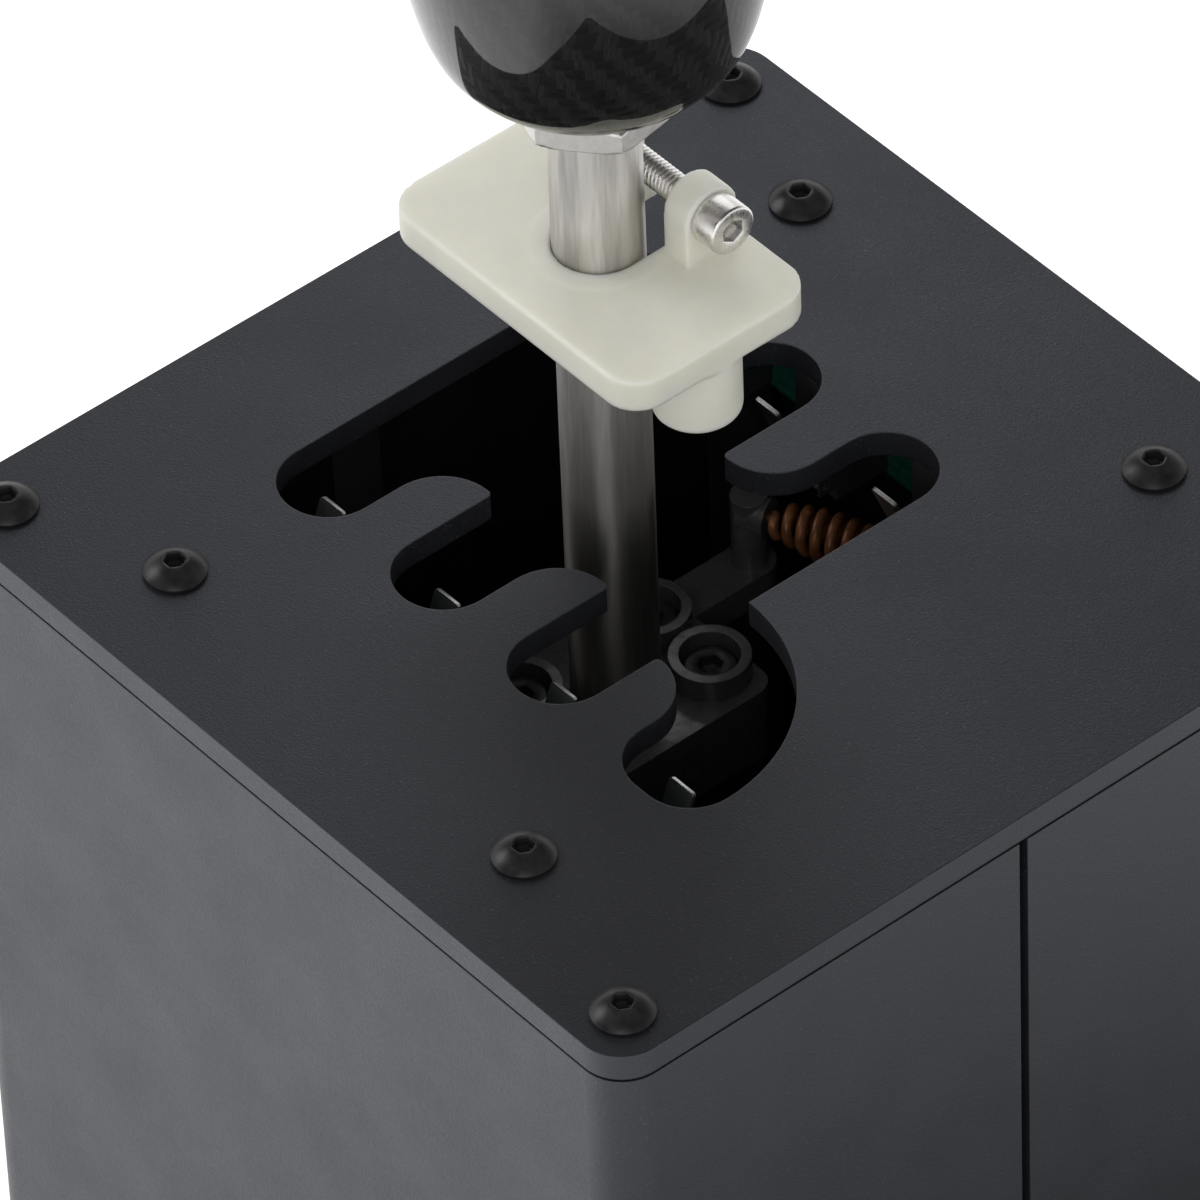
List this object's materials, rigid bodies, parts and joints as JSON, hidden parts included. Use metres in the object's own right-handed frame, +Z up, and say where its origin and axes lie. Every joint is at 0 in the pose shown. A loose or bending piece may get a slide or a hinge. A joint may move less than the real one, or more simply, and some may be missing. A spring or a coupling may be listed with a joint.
{
  "type": "sim racing gear shifter",
  "caption": "Boxed H-gate gear shifter for a racing simulator: spring-centred lever on a gimbal, snap switches under the gate, carbon knob and a clamp-on limiter.",
  "frame": {"origin": "centre of the underside of the base plate", "axes": "+Z up along the upright lever, +Y away from the driver, +X to the driver's right"},
  "size_m": [0.136, 0.136, 0.2646],
  "materials": {
    "black_coat": "black powder coat, fine texture",
    "black_screw": "black oxide steel",
    "raw_aluminium": "machined, plain",
    "black_aluminium": "black anodised",
    "steel": "fine turned",
    "blade_steel": "rolled spring steel",
    "board_green": "green solder mask",
    "switch_black": "moulded",
    "hub_black": "moulded, lightly greased",
    "bearing_bronze": "plain bearing bronze",
    "spring_brown": "orange-brown varnish",
    "nut_plate": "bright plated",
    "ring_grey": "dark grey anodised",
    "knob_carbon": "woven carbon fibre under clear coat",
    "limiter_nylon": "milky translucent nylon"
  },
  "bodies": {
    "housing": {"base_plate": "black_coat", "shell_near": "black_coat", "shell_far": "black_coat", "gate_plate": "black_coat", "corner_posts": "raw_aluminium", "corner_screws": "black_screw", "board_screws_top": "black_screw", "base_screws": "black_screw", "board_brackets": "black_aluminium", "board_near": "board_green", "board_far": "board_green", "board_screws": "steel", "switches_near": "switch_black", "switches_far": "switch_black", "pivot_stands": "raw_aluminium", "stand_screws": "black_screw", "tilt_pins": "steel", "spring_far": "spring_brown", "spring_near": "spring_brown", "controller_board": "board_green", "board_pillars": "steel", "pillar_screws": "steel", "usb_inlet": "steel"},
    "cradle": {"cradle": "black_aluminium", "cradle_bushes": "bearing_bronze"},
    "lever": {"yoke": "raw_aluminium", "yoke_pins": "steel", "yoke_screw": "black_screw", "shaft": "steel", "hub": "hub_black", "hub_screws": "black_screw", "lock_nut": "nut_plate", "knob_ring": "ring_grey", "knob": "knob_carbon"},
    "limiter": {"limiter": "limiter_nylon", "limiter_screw": "steel", "limiter_nut": "steel"},
    "switch_lever_gear1": {"blade_gear1": "blade_steel"},
    "switch_lever_gear2": {"blade_gear2": "blade_steel"},
    "switch_lever_gear3": {"blade_gear3": "blade_steel"},
    "switch_lever_gear4": {"blade_gear4": "blade_steel"},
    "switch_lever_gear5": {"blade_gear5": "blade_steel"},
    "switch_lever_gear6": {"blade_gear6": "blade_steel"},
    "switch_lever_reverse": {"blade_reverse": "blade_steel"}
  },
  "joints": [
    {"name": "select", "type": "hinge", "parent": "housing", "child": "cradle", "pos_m": [-0.014, 0, 0.028], "axis": [0, 1, 0], "range_deg": [-11.81, 11.81], "stiffness_Nm_per_rad": 4},
    {"name": "shift", "type": "hinge", "parent": "cradle", "child": "lever", "pos_m": [-0.014, 0, 0.028], "axis": [1, 0, 0], "range_deg": [-12.7, 12.7], "stiffness_Nm_per_rad": 4, "deforming": ["spring_far", "spring_near"]},
    {"name": "limiter_slide", "type": "slide", "parent": "lever", "child": "limiter", "axis": [0, 0, 1], "range_m": [-0.014, 0.008]},
    {"name": "switch_gear1", "type": "hinge", "parent": "housing", "child": "switch_lever_gear1", "pos_m": [-0.037, 0.0336, 0.1185], "axis": [1, 0, 0], "range_deg": [-21, 0], "stiffness_Nm_per_rad": 0.02},
    {"name": "switch_gear2", "type": "hinge", "parent": "housing", "child": "switch_lever_gear2", "pos_m": [-0.037, -0.0336, 0.1185], "axis": [1, 0, 0], "range_deg": [0, 21], "stiffness_Nm_per_rad": 0.02},
    {"name": "switch_gear3", "type": "hinge", "parent": "housing", "child": "switch_lever_gear3", "pos_m": [-0.014, 0.0336, 0.1185], "axis": [1, 0, 0], "range_deg": [-14, 14], "stiffness_Nm_per_rad": 0.02},
    {"name": "switch_gear4", "type": "hinge", "parent": "housing", "child": "switch_lever_gear4", "pos_m": [-0.014, -0.0336, 0.1185], "axis": [1, 0, 0], "range_deg": [-14, 14], "stiffness_Nm_per_rad": 0.02},
    {"name": "switch_gear5", "type": "hinge", "parent": "housing", "child": "switch_lever_gear5", "pos_m": [0.009, 0.0336, 0.1185], "axis": [1, 0, 0], "range_deg": [-21, 0], "stiffness_Nm_per_rad": 0.02},
    {"name": "switch_gear6", "type": "hinge", "parent": "housing", "child": "switch_lever_gear6", "pos_m": [0.009, -0.0336, 0.1185], "axis": [1, 0, 0], "range_deg": [0, 21], "stiffness_Nm_per_rad": 0.02},
    {"name": "switch_reverse", "type": "hinge", "parent": "housing", "child": "switch_lever_reverse", "pos_m": [0.032, -0.0336, 0.1185], "axis": [1, 0, 0], "range_deg": [0, 21], "stiffness_Nm_per_rad": 0.02}
  ],
  "couplings": [
    {"joint": "switch_gear3", "follows": "shift", "ratio": 1.1023},
    {"joint": "switch_gear4", "follows": "shift", "ratio": 1.1023}
  ]
}
